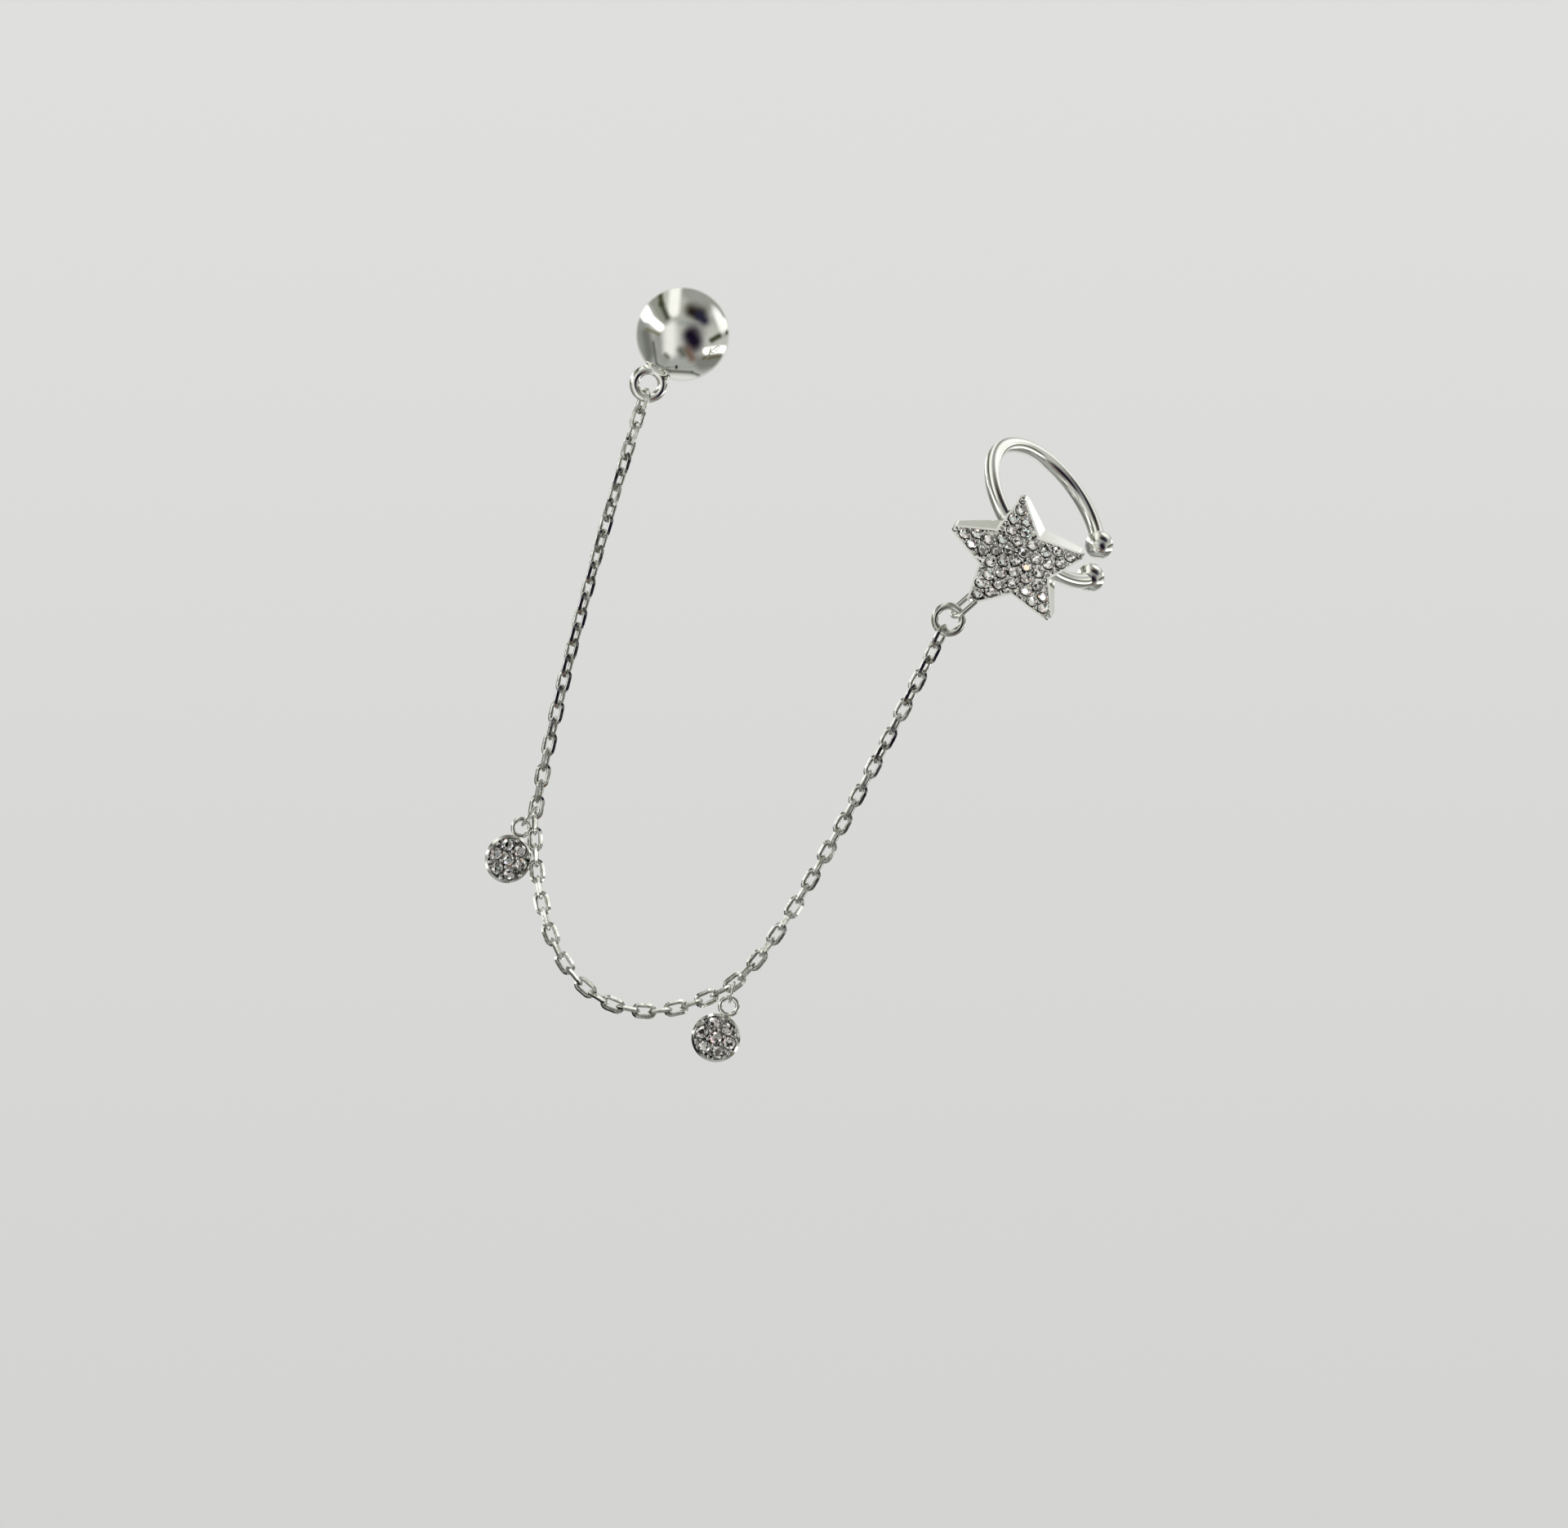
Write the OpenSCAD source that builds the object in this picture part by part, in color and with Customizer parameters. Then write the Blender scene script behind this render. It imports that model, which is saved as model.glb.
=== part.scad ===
// Ear chain earring: a ball stud and an ear cuff with a paved star, joined by one long chain
// that carries two paved disc charms. Shown hanging, +Z up, with the wearer's ear at +Y.
// The origin is where the back of the ball touches the front of the ear lobe.

/* [Ball stud] */
// Diameter of the polished ball
ball_d = 6; // [5:0.5:8]
// Diameter of the ear post
post_d = 0.8; // [0.7:0.05:1]
// Length of the ear post behind the ball
post_len = 10; // [8:0.5:12]
// Outer diameter of the eyelet soldered under the ball
eyelet_d = 2.4; // [2.3:0.1:2.8]
// Width of the eyelet's flattened wire, seen from the front
eyelet_w = 0.62; // [0.5:0.02:0.64]
// Thickness of the eyelet's flattened wire
eyelet_t = 0.4; // [0.3:0.02:0.42]
// Angle of the eyelet off the plumb line, towards the face
eyelet_lean = 10; // [0:1:20]

/* [Chain] */
// Diameter of the chain's wire
link_wire = 0.24; // [0.22:0.01:0.24]
// Outer width of a link
link_w = 1; // [1:0.02:1.1]
// Outer length of a link
link_len = 1.63; // [1.6:0.01:1.66]
// Outer width of the first and the last link
end_link_w = 1.35; // [1.35:0.05:1.4]
// Outer length of the first and the last link
end_link_len = 1.8; // [1.8:0.05:2]
// Play between a link and the next one
link_play = 0.13; // [0.11:0.01:0.16]

/* [Disc charms] */
// Diameter of a disc
disc_d = 3.1; // [3:0.1:3.4]
// Thickness of a disc
disc_t = 0.7; // [0.65:0.05:0.75]
// Diameter of a disc's stones
disc_stone_d = 0.8; // [0.7:0.02:0.8]
// Outer diameter of a charm's eyelet
charm_eyelet_d = 1.4; // [1.3:0.05:1.5]
// Diameter of the wire of a charm's eyelet
charm_eyelet_wire = 0.3; // [0.25:0.01:0.3]
// Diameter of the wire of the ring that hangs a charm
charm_ring_wire = 0.18; // [0.16:0.01:0.18]

/* [Jump ring] */
// Outer diameter of the ring between the chain and the star
jump_d = 2.2; // [2.2:0.1:2.6]
// Diameter of its wire
jump_wire = 0.46; // [0.4:0.02:0.46]

/* [Star cuff] */
// Diameter of the cuff's circle, along the middle of its wire
cuff_d = 10; // [9:0.5:12]
// Diameter of the cuff's wire
cuff_wire = 1; // [0.8:0.05:1.1]
// Diameter of the balls on the cuff's two ends
cuff_ball_d = 1.85; // [1.6:0.05:2]
// Place of the first end ball, round the cuff from the star
cuff_end_1 = 77; // [70:1:85]
// Place of the second end ball, round the cuff from the star
cuff_end_2 = 121; // [115:1:150]
// Turn of the cuff about X, Y and Z, as it hangs
cuff_turn = [-29, 32, -94]; // [-180:1:180]
// Distance from the star's middle to a sharp tip
star_tip = 4.95; // [4.8:0.05:5.05]
// Distance from the star's middle to an inner corner
star_notch = 2.45; // [2.43:0.01:2.6]
// Rounding of the star's tips
star_round = 0.35; // [0.25:0.01:0.4]
// Thickness of the star in its middle
star_t = 1.6; // [1.4:0.1:1.8]
// Thickness of the star at its tips
star_tip_t = 0.4; // [0.35:0.05:0.8]
// Turn of the star in its own plane
star_spin = -11.5; // [-14:0.5:-9]
// Diameter of the star's stones
star_stone_d = 0.7; // [0.63:0.01:0.7]
// Outer width of the bail on the star's tip
bail_w = 1.46; // [1.46:0.01:1.52]
// Diameter of the bail's wire
bail_wire = 0.32; // [0.26:0.01:0.32]

/* [Hidden] */

// Sides of round things, by kind
$fn = 48;
WIRE_FN = 20;
BEAD_FN = 16;
SEAT_FN = 32;
CUFF_FN = 32;
TAPER_FN = 96;
STONE_SIDES = 8;
EPS = 0.01;

// Everything on the chain hangs in this upright plane
HANG_Y = -ball_d / 2;
BALL_CENTRE = [0, HANG_Y, 0];

// Eyelet under the ball: it sinks into the ball by EYELET_SINK
EYELET_SINK = 0.37;
EYELET_DROP = ball_d / 2 + eyelet_d / 2 - EYELET_SINK;
EYELET_CENTRE = BALL_CENTRE + EYELET_DROP * [-sin(eyelet_lean), 0, -cos(eyelet_lean)];

// Play between two wires that hang in each other
HANG_PLAY = 0.1;

// Stretches of the chain, as it hangs from the ball round to the star.
// The slope's tangent changes evenly along a stretch, as a hanging chain's does.
// Columns: number of links, first slope, last slope, first twist, last twist
STRETCHES = [
    [4, -83, -82.6, 62, 50],
    [16, -82.4, -79, 40, 32],
    [7, -78.6, -76, 28, 12],
    [21, -66, 52, 10, -2],
    [26, 62, 87.7, -10, -28],
];
function links_before(s) = s == 0 ? 0 : links_before(s - 1) + STRETCHES[s - 1][0];
LINKS = links_before(len(STRETCHES));

function stretch_of(i, s = 0) = i < links_before(s + 1) ? s : stretch_of(i, s + 1);
function along_stretch(i) = let (s = stretch_of(i)) (i - links_before(s)) / (STRETCHES[s][0] - 1);
function mix(a, b, f) = a + (b - a) * f;
function slope_of(i) = let (row = STRETCHES[stretch_of(i)])
    atan(mix(tan(row[1]), tan(row[2]), along_stretch(i)));
function twist_of(i) = let (row = STRETCHES[stretch_of(i)])
    mix(row[3], row[4], along_stretch(i)) + 90 * (i % 2);
function heading(angle) = [cos(angle), 0, sin(angle)];

function is_end_link(i) = i == 0 || i == LINKS - 1;
function length_of(i) = is_end_link(i) ? end_link_len : link_len;
function width_of(i) = is_end_link(i) ? end_link_w : link_w;
function half_pitch(i) = length_of(i) / 2 - link_wire - link_play / 2;

// Distance from a round eyelet's middle to the middle of a wire that hangs in it
function hang_reach(inner_d, wire) = inner_d / 2 - wire / 2 - HANG_PLAY;

FIRST_LINK = EYELET_CENTRE + heading(slope_of(0))
    * (hang_reach(eyelet_d - 2 * eyelet_w, link_wire) + end_link_len / 2 - link_wire / 2);
LINK_CENTRES = [
    for (
        i = 0, c = FIRST_LINK;
        i < LINKS;
        c = c + half_pitch(i) * heading(slope_of(i)) + half_pitch(i + 1) * heading(slope_of(min(i + 1, LINKS - 1))),
        i = i + 1
    ) c
];

// Jump ring at the chain's upper end
JUMP_R = (jump_d - jump_wire) / 2;
JUMP_HOLE = jump_d - 2 * jump_wire;
JUMP_CENTRE = LINK_CENTRES[LINKS - 1] + heading(slope_of(LINKS - 1))
    * (hang_reach(JUMP_HOLE, link_wire) + end_link_len / 2 - link_wire / 2);

// The cuff hangs by the bail from the jump ring
CUFF_CENTRE = JUMP_CENTRE + [2.85, 3, 8.8];
CUFF_R = cuff_d / 2;
// The cuff's wire sinks this far into the star's back
WIRE_SINK = 0.2;
STAR_BACK = CUFF_R + cuff_wire / 2 - WIRE_SINK;
BAIL_SLOPE = 66;
BAIL_TWIST = -60;
BAIL_LEN = 2.7;
BAIL_CENTRE = JUMP_CENTRE + heading(BAIL_SLOPE)
    * (hang_reach(JUMP_HOLE, bail_wire) + BAIL_LEN / 2 - bail_wire / 2);

// Each charm hangs from one link by its own ring. The first lies behind the chain, edge turned away.
// Columns: link, swing of the ring, turn of the ring, radius of the ring,
// set back and drop of the charm's eyelet, swing of the disc, turn of the disc
CHARMS = [
    [26, 14, 6, 0.75, 0.45, 1.62, 0, 20],
    [48, -11, 0, 0.65, 0, 1.55, -2, 0],
];
// A charm's eyelet sinks this far into its disc
CHARM_EYELET_SINK = 0.1;
DISC_DROP = disc_d / 2 + charm_eyelet_d / 2 - CHARM_EYELET_SINK;

// A cut stone's parts, as shares of its diameter
TABLE_SHARE = 0.56;
CROWN_SHARE = 0.16;
GIRDLE_SHARE = 0.04;
PAVILION_SHARE = 0.42;
// The girdle's top lies this far under the metal's face
STONE_SINK = 0.06;
SEAT_PLAY = 0.04;
SEAT_FLOOR = 0.04;

// Stones of one arm of the star. Columns: turn off the arm, along, across, share of the diameter
STAR_STONES = [
    [36, 0.83, 0, 1],
    [0, 1.37, 0, 1],
    [36, 1.66, 0, 1],
    [0, 2.11, 0.44, 1],
    [0, 2.11, -0.44, 1],
    [0, 2.93, 0.42, 1],
    [0, 2.93, -0.42, 1],
    [0, 3.63, 0, 1],
    [0, 4.3, 0, 0.5],
];
// Beads of metal that hold them. Columns: turn off the arm, along, across, radius
STAR_BEADS = [
    [0, 0.51, 0, 0.1],
    [0, 0.85, 0, 0.1],
    [0, 1.19, 0.49, 0.12],
    [0, 1.19, -0.49, 0.12],
    [0, 1.87, 0, 0.12],
    [0, 1.57, 0.49, 0.13],
    [0, 1.57, -0.49, 0.13],
    [36, 2.17, 0, 0.12],
    [0, 2.52, 0, 0.15],
    [0, 2.52, 0.86, 0.13],
    [0, 2.52, -0.86, 0.13],
    [0, 3.15, 0, 0.1],
    [0, 3.39, 0.51, 0.11],
    [0, 3.39, -0.51, 0.11],
    [0, 4.03, 0.23, 0.08],
    [0, 4.03, -0.23, 0.08],
];
ARMS = 5;
// The star's back is flat as far out as this
STAR_FLAT_R = 1.3;
// The star lies this far along the wire and across it
STAR_SHIFT = [-0.11, -0.16];

// Disc: one stone in the middle and a ring of DISC_RING stones
DISC_RING = 6;
DISC_RING_R = 0.92;
DISC_BEAD_RADII = [0.531, 1.28];
DISC_BEAD_R = 0.12;
DISC_BEVEL = 0.16;
DISC_BACK_INSET = 0.2;

module torus(r, wire) {
    rotate([90, 0, 0])
        rotate_extrude()
            translate([r, 0])
                circle(d = wire, $fn = WIRE_FN);
}

// The section of a flattened wire with two crowned faces
module crowned_section(w, t) {
    crown_r = (w * w / 4 + t * t / 4) / t;
    intersection() {
        translate([0, t / 2 - crown_r])
            circle(r = crown_r);
        translate([0, crown_r - t / 2])
            circle(r = crown_r);
    }
}

// An oval link in the XZ plane, its length along X
module link(length, width, wire) {
    bend_r = (width - wire) / 2;
    straight = length - width;
    for (end = [0, 180])
        rotate([0, end, 0])
            translate([straight / 2, 0, 0])
                rotate([90, 0, 0])
                    rotate([0, 0, -90])
                        rotate_extrude(angle = 180)
                            translate([bend_r, 0])
                                circle(d = wire, $fn = WIRE_FN);
    for (side = [-1, 1])
        translate([-straight / 2, 0, side * bend_r])
            rotate([0, 90, 0])
                cylinder(d = wire, h = straight, $fn = WIRE_FN);
}

// Points a link along a slope in the hanging plane and twists it about its own length
module aim(slope, twist) {
    rotate([0, -slope, 0])
        rotate([twist, 0, 0])
            children();
}

// A round stone cut with eight sides, its girdle's top at z = 0 and its table up
module stone(d) {
    rotate_extrude($fn = STONE_SIDES)
        polygon([
            [0, -(PAVILION_SHARE + GIRDLE_SHARE) * d],
            [d / 2, -GIRDLE_SHARE * d],
            [d / 2, 0],
            [TABLE_SHARE * d / 2, CROWN_SHARE * d],
            [0, CROWN_SHARE * d],
        ]);
}

// The hole that a stone of diameter d sits in, cut from z = 0 down
module seat(d) {
    depth = STONE_SINK + (PAVILION_SHARE + GIRDLE_SHARE) * d + SEAT_FLOOR;
    translate([0, 0, -depth])
        cylinder(d = d + 2 * SEAT_PLAY, h = depth + EPS, $fn = SEAT_FN);
}

module ball_stud() {
    color("silver") {
        translate(BALL_CENTRE)
            sphere(d = ball_d);
        rotate([-90, 0, 0]) {
            tip = post_d / 4;
            translate([0, 0, -ball_d / 4])
                cylinder(d = post_d, h = ball_d / 4 + post_len - tip);
            translate([0, 0, post_len - tip])
                cylinder(d1 = post_d, d2 = post_d / 2, h = tip);
        }
        translate(EYELET_CENTRE)
            rotate([90, 0, 0])
                rotate_extrude()
                    translate([(eyelet_d - eyelet_w) / 2, 0])
                        crowned_section(eyelet_w, eyelet_t);
    }
}

module chain() {
    color("gainsboro")
        for (i = [0 : LINKS - 1])
            translate(LINK_CENTRES[i])
                aim(slope_of(i), twist_of(i))
                    link(length_of(i), width_of(i), link_wire);
}

// The ring stands nearly edge on to the front, through the link and through the charm's eyelet
module charm_ring(row) {
    r = row[3];
    set_back = row[4];
    color("silver")
        translate(LINK_CENTRES[row[0]])
            rotate([0, row[1], 0])
                rotate([0, 0, -row[2]])
                    translate([0, set_back / 2, -sqrt(r * r - set_back * set_back / 4)])
                        rotate([0, 0, 90])
                            torus(r, charm_ring_wire);
}

// Middle of a charm's eyelet, from the middle of the link that carries it
function eyelet_offset(row) = let (
    across = row[4] * sin(row[2]),
    back = row[4] * cos(row[2]),
    drop = row[5]
)
    [across * cos(row[1]) - drop * sin(row[1]), back, -across * sin(row[1]) - drop * cos(row[1])];

// The middle of a disc's front face, its stones facing z
module disc_face(row) {
    translate(LINK_CENTRES[row[0]] + eyelet_offset(row))
        rotate([0, row[6], row[7]])
            translate([0, -disc_t / 2, -DISC_DROP])
                rotate([90, 0, 0])
                    children();
}

module disc_layout() {
    children(0);
    for (k = [0 : DISC_RING - 1])
        rotate([0, 0, k * 360 / DISC_RING])
            translate([DISC_RING_R, 0, 0])
                children(0);
}

module disc_charm(row) {
    r = disc_d / 2;
    color("silver")
        disc_face(row) {
            difference() {
                rotate_extrude()
                    polygon([
                        [0, -disc_t],
                        [r - DISC_BACK_INSET, -disc_t],
                        [r, -DISC_BEVEL],
                        [r - DISC_BEVEL, 0],
                        [0, 0],
                    ]);
                disc_layout()
                    seat(disc_stone_d);
            }
            for (bead_r = DISC_BEAD_RADII, k = [0 : DISC_RING - 1])
                rotate([0, 0, (k + 0.5) * 360 / DISC_RING])
                    translate([bead_r, 0, 0])
                        sphere(r = DISC_BEAD_R, $fn = BEAD_FN);
            translate([0, DISC_DROP, -disc_t / 2])
                rotate([90, 0, 0])
                    torus((charm_eyelet_d - charm_eyelet_wire) / 2, charm_eyelet_wire);
        }
}

module disc_stones(row) {
    color("lightcyan")
        disc_face(row)
            translate([0, 0, -STONE_SINK])
                disc_layout()
                    stone(disc_stone_d);
}

module jump_ring() {
    color("silver")
        translate(JUMP_CENTRE)
            torus(JUMP_R, jump_wire);
}

// Outline of the star, its first arm along X
function star_points() =
    let (
        corner_x = star_notch * cos(180 / ARMS),
        corner_y = star_notch * sin(180 / ARMS),
        half_angle = atan(corner_y / (star_tip - corner_x)),
        round_x = star_tip - star_round / sin(half_angle),
        steps = 6
    )
    [
        for (k = [0 : ARMS - 1])
            let (turn = k * 360 / ARMS)
            each concat(
                [
                    for (j = [0 : steps])
                        let (a = mix(half_angle - 90, 90 - half_angle, j / steps))
                        turned([round_x + star_round * cos(a), star_round * sin(a)], turn)
                ],
                [turned([corner_x, corner_y], turn)]
            )
    ];
function turned(p, angle) =
    [p[0] * cos(angle) - p[1] * sin(angle), p[0] * sin(angle) + p[1] * cos(angle)];

// The cuff's own frame: its circle in XY, the star on the +X side
module cuff_frame() {
    translate(CUFF_CENTRE)
        rotate(cuff_turn)
            children();
}

// The star's front face, z out of it, its first arm along x
module star_face() {
    cuff_frame()
        rotate([90, 0, 90])
            translate([STAR_SHIFT[0], STAR_SHIFT[1], STAR_BACK + star_t])
                rotate([0, 0, star_spin])
                    children();
}

// Places one thing on each arm, by a row of turn, along and across
module on_each_arm(row) {
    for (k = [0 : ARMS - 1])
        rotate([0, 0, k * 360 / ARMS + row[0]])
            translate([row[1], row[2], 0])
                children();
}

module star_plate() {
    difference() {
        intersection() {
            translate([0, 0, -star_t])
                linear_extrude(height = star_t)
                    polygon(star_points());
            tapered_back();
        }
        seat(star_stone_d);
        for (row = STAR_STONES)
            on_each_arm(row)
                seat(star_stone_d * row[3]);
    }
    for (row = STAR_BEADS)
        on_each_arm(row)
            sphere(r = row[3], $fn = BEAD_FN);
}

// Keeps the star's full thickness in its middle and thins it towards the tips
module tapered_back() {
    reach = star_tip + EPS;
    rotate_extrude($fn = TAPER_FN)
        polygon([
            [0, -star_t - EPS],
            [STAR_FLAT_R, -star_t],
            [reach, -star_tip_t],
            [reach, EPS],
            [0, EPS],
        ]);
}

module cuff_wire() {
    rotate([0, 0, cuff_end_2])
        rotate_extrude(angle = 360 - cuff_end_2 + cuff_end_1)
            translate([CUFF_R, 0])
                circle(d = cuff_wire, $fn = CUFF_FN);
    for (end = [cuff_end_1, cuff_end_2])
        rotate([0, 0, end])
            translate([CUFF_R, 0, 0])
                sphere(d = cuff_ball_d, $fn = CUFF_FN);
}

module star_cuff() {
    color("silver") {
        cuff_frame()
            cuff_wire();
        star_face()
            star_plate();
        translate(BAIL_CENTRE)
            aim(BAIL_SLOPE, BAIL_TWIST)
                link(BAIL_LEN, bail_w, bail_wire);
    }
}

module star_stones() {
    color("lightcyan")
        star_face()
            translate([0, 0, -STONE_SINK]) {
                stone(star_stone_d);
                for (row = STAR_STONES)
                    on_each_arm(row)
                        stone(star_stone_d * row[3]);
            }
}

ball_stud();
chain();
charm_ring(CHARMS[0]);  // charm_ring_1
charm_ring(CHARMS[1]);  // charm_ring_2
disc_charm(CHARMS[0]);  // disc_charm_1
disc_charm(CHARMS[1]);  // disc_charm_2
disc_stones(CHARMS[0]);  // disc_stones_1
disc_stones(CHARMS[1]);  // disc_stones_2
jump_ring();
star_cuff();
star_stones();
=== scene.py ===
import math
import random

import bmesh
import bpy
import numpy as np
from mathutils import Matrix, Vector


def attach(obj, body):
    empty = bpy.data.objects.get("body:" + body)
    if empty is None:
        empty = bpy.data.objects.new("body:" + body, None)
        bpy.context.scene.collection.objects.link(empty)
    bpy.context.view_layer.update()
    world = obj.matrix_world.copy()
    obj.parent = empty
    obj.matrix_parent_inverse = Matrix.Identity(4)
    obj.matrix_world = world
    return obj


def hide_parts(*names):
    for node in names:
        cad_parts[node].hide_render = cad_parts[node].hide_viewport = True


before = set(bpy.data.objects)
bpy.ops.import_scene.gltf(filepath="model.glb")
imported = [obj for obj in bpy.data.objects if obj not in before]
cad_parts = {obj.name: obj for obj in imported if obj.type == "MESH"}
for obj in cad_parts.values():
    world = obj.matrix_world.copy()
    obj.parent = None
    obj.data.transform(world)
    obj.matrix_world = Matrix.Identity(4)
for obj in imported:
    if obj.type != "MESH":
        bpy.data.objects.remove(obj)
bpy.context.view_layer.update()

bl_info = {
    "name": "Ear chain earring",
    "version": (1, 0, 0),
    "blender": (4, 5, 0),
    "location": "3D View > Sidebar > Ear chain",
    "description": "Dresses the ear chain earring in polished silver and cut stones",
    "category": "Object",
}

MM = 0.001

# The ball's middle is where the places in the picture are counted from
BALL_D = 6 * MM
BALL_CENTRE = Vector((0, -BALL_D / 2, 0))

# The camera looks along +Y and is rolled, because the earring hangs askew in the picture
PICTURE_ROLL = math.radians(24.4)
PICTURE_RIGHT = Vector((math.cos(PICTURE_ROLL), 0, math.sin(PICTURE_ROLL)))
PICTURE_UP = Vector((-math.sin(PICTURE_ROLL), 0, math.cos(PICTURE_ROLL)))
SIGHT = Vector((0, 1, 0))

# Corners of one CAD solid that lie closer than this are one corner
WELD = 0.002 * MM
# Sides of the round sheets that the floor and the panels are made of
SHEET_SIDES = 64


# Meshes


def loose_solids(cad_node):
    """The corners of each loose solid in a CAD node, in metres, one array for each solid."""
    mesh = bmesh.new()
    mesh.from_mesh(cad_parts[cad_node].data)
    bmesh.ops.remove_doubles(mesh, verts=mesh.verts, dist=WELD)
    mesh.verts.ensure_lookup_table()
    mesh.verts.index_update()
    seen = [False] * len(mesh.verts)
    solids = []
    for start in mesh.verts:
        if seen[start.index]:
            continue
        seen[start.index] = True
        waiting = [start]
        corners = []
        while waiting:
            corner = waiting.pop()
            corners.append(corner.co[:])
            for edge in corner.link_edges:
                other = edge.other_vert(corner)
                if not seen[other.index]:
                    seen[other.index] = True
                    waiting.append(other)
        solids.append(np.array(corners))
    mesh.free()
    return solids


def principal_axes(corners):
    """Three unit vectors of a solid, the one along which it is thinnest first."""
    _, axes = np.linalg.eigh(np.cov((corners - corners.mean(0)).T))
    return [axes[:, k] for k in range(3)]


def middle_along(corners, axes):
    """The middle of a solid's box along its own axes, and the box's sides."""
    reach = [corners @ axis for axis in axes]
    middle = sum((r.min() + r.max()) / 2 * axis for r, axis in zip(reach, axes))
    return middle, [np.ptp(r) for r in reach]


def turn_of(x_axis, y_axis):
    """Euler angles that turn X and Y to two given directions."""
    x_axis = Vector(x_axis).normalized()
    y_axis = Vector(y_axis)
    z_axis = x_axis.cross(y_axis).normalized()
    y_axis = z_axis.cross(x_axis)
    return Matrix((x_axis, y_axis, z_axis)).transposed().to_euler("XYZ")


def mesh_object(name, corners, faces, smooth=None):
    """A mesh object from corners and faces. smooth says which faces are shaded smooth."""
    mesh = bpy.data.meshes.new(name)
    mesh.from_pydata([tuple(c) for c in corners], [], faces)
    if smooth is not None:
        mesh.polygons.foreach_set("use_smooth", smooth)
    mesh.validate()
    obj = bpy.data.objects.new(name, mesh)
    bpy.context.scene.collection.objects.link(obj)
    return obj


def round_sheet(name, middle, facing, radius):
    """A flat round sheet that faces one way."""
    side = facing.orthogonal().normalized()
    rise = facing.cross(side)
    angles = [k * 2 * math.pi / SHEET_SIDES for k in range(SHEET_SIDES)]
    corners = [middle + radius * (math.cos(a) * side + math.sin(a) * rise) for a in angles]
    return mesh_object(name, corners, [tuple(range(SHEET_SIDES))])


def face_outwards(obj):
    """Turns all faces of a closed mesh outwards."""
    mesh = bmesh.new()
    mesh.from_mesh(obj.data)
    bmesh.ops.recalc_face_normals(mesh, faces=mesh.faces)
    mesh.to_mesh(obj.data)
    mesh.free()


def join(name, parts):
    """Joins mesh objects that share one material into one piece."""
    mesh = bmesh.new()
    for part in parts:
        mesh.from_mesh(part.data)
    piece = mesh_object(name, [], [])
    mesh.to_mesh(piece.data)
    mesh.free()
    for material in parts[0].data.materials:
        piece.data.materials.append(material)
    for part in parts:
        bpy.data.objects.remove(part)
    return piece


# Node trees

# Width of a column and height of a row in a tree
COLUMN = 200
ROW = -160

# Most of a noise's values lie in this span
NOISE_SPAN = (0.3, 0.7)


def node(tree, kind, place, **properties):
    """A shader or geometry node at a column and row of its tree, with its properties set."""
    made = tree.nodes.new(kind)
    made.location = (place[0] * COLUMN, place[1] * ROW)
    for name, value in properties.items():
        setattr(made, name, value)
    return made


def wire(tree, start, end):
    """Joins two sockets."""
    tree.links.new(start, end)


def calculated(tree, operation, at, *values):
    """One step of arithmetic. A value is a number or another node's output."""
    made = node(tree, "ShaderNodeMath", at, operation=operation)
    for socket, value in zip(made.inputs, values):
        if isinstance(value, (int, float)):
            socket.default_value = value
        else:
            wire(tree, value, socket)
    return made.outputs["Value"]


def dot(tree, vector, direction, at):
    """How far a vector reaches along a fixed direction."""
    made = node(tree, "ShaderNodeVectorMath", at, operation="DOT_PRODUCT")
    made.inputs[1].default_value = direction
    wire(tree, vector, made.inputs[0])
    return made.outputs["Value"]


def soft_step(tree, value, start, end, low, high, at):
    """Goes smoothly from low to high while a value goes from start to end."""
    made = node(tree, "ShaderNodeMapRange", at, interpolation_type="SMOOTHSTEP")
    made.inputs["From Min"].default_value = start
    made.inputs["From Max"].default_value = end
    made.inputs["To Min"].default_value = low
    made.inputs["To Max"].default_value = high
    wire(tree, value, made.inputs["Value"])
    return made.outputs["Result"]


def spread(tree, value, low, high, at):
    """Spreads a noise value from low to high."""
    made = node(tree, "ShaderNodeMapRange", at)
    made.inputs["From Min"].default_value = NOISE_SPAN[0]
    made.inputs["From Max"].default_value = NOISE_SPAN[1]
    made.inputs["To Min"].default_value = low
    made.inputs["To Max"].default_value = high
    wire(tree, value, made.inputs["Value"])
    return made.outputs["Result"]


def noise(tree, place, scale, detail, at):
    """Noise on an object's coordinates, scale in waves for each metre."""
    made = node(tree, "ShaderNodeTexNoise", at)
    made.inputs["Scale"].default_value = scale
    made.inputs["Detail"].default_value = detail
    wire(tree, place, made.inputs["Vector"])
    return made.outputs["Fac"]


def mixed(tree, share, under, over, at):
    """Lays a colour over another by a share."""
    made = node(tree, "ShaderNodeMix", at, data_type="RGBA")
    wire(tree, share, made.inputs[0])
    for socket, colour in [(made.inputs[6], under), (made.inputs[7], over)]:
        if isinstance(colour, tuple):
            socket.default_value = (*colour, 1)
        else:
            wire(tree, colour, socket)
    return made.outputs[2]


def stepped_ramp(tree, chance, rows, at):
    """A colour for each span of a chance, without blends."""
    made = node(tree, "ShaderNodeValToRGB", at)
    made.color_ramp.interpolation = "CONSTANT"
    elements = made.color_ramp.elements
    for k, (start, colour) in enumerate(rows):
        element = elements[k] if k < len(elements) else elements.new(start)
        element.position = start
        element.color = (*colour, 1)
    wire(tree, chance, made.inputs["Fac"])
    return made.outputs["Color"]


# Silver

# Size of the smudges, and how far they change a finish's roughness
SMUDGE = 0.35 * MM
SMUDGE_SPAN = (0.6, 1.5)

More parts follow.
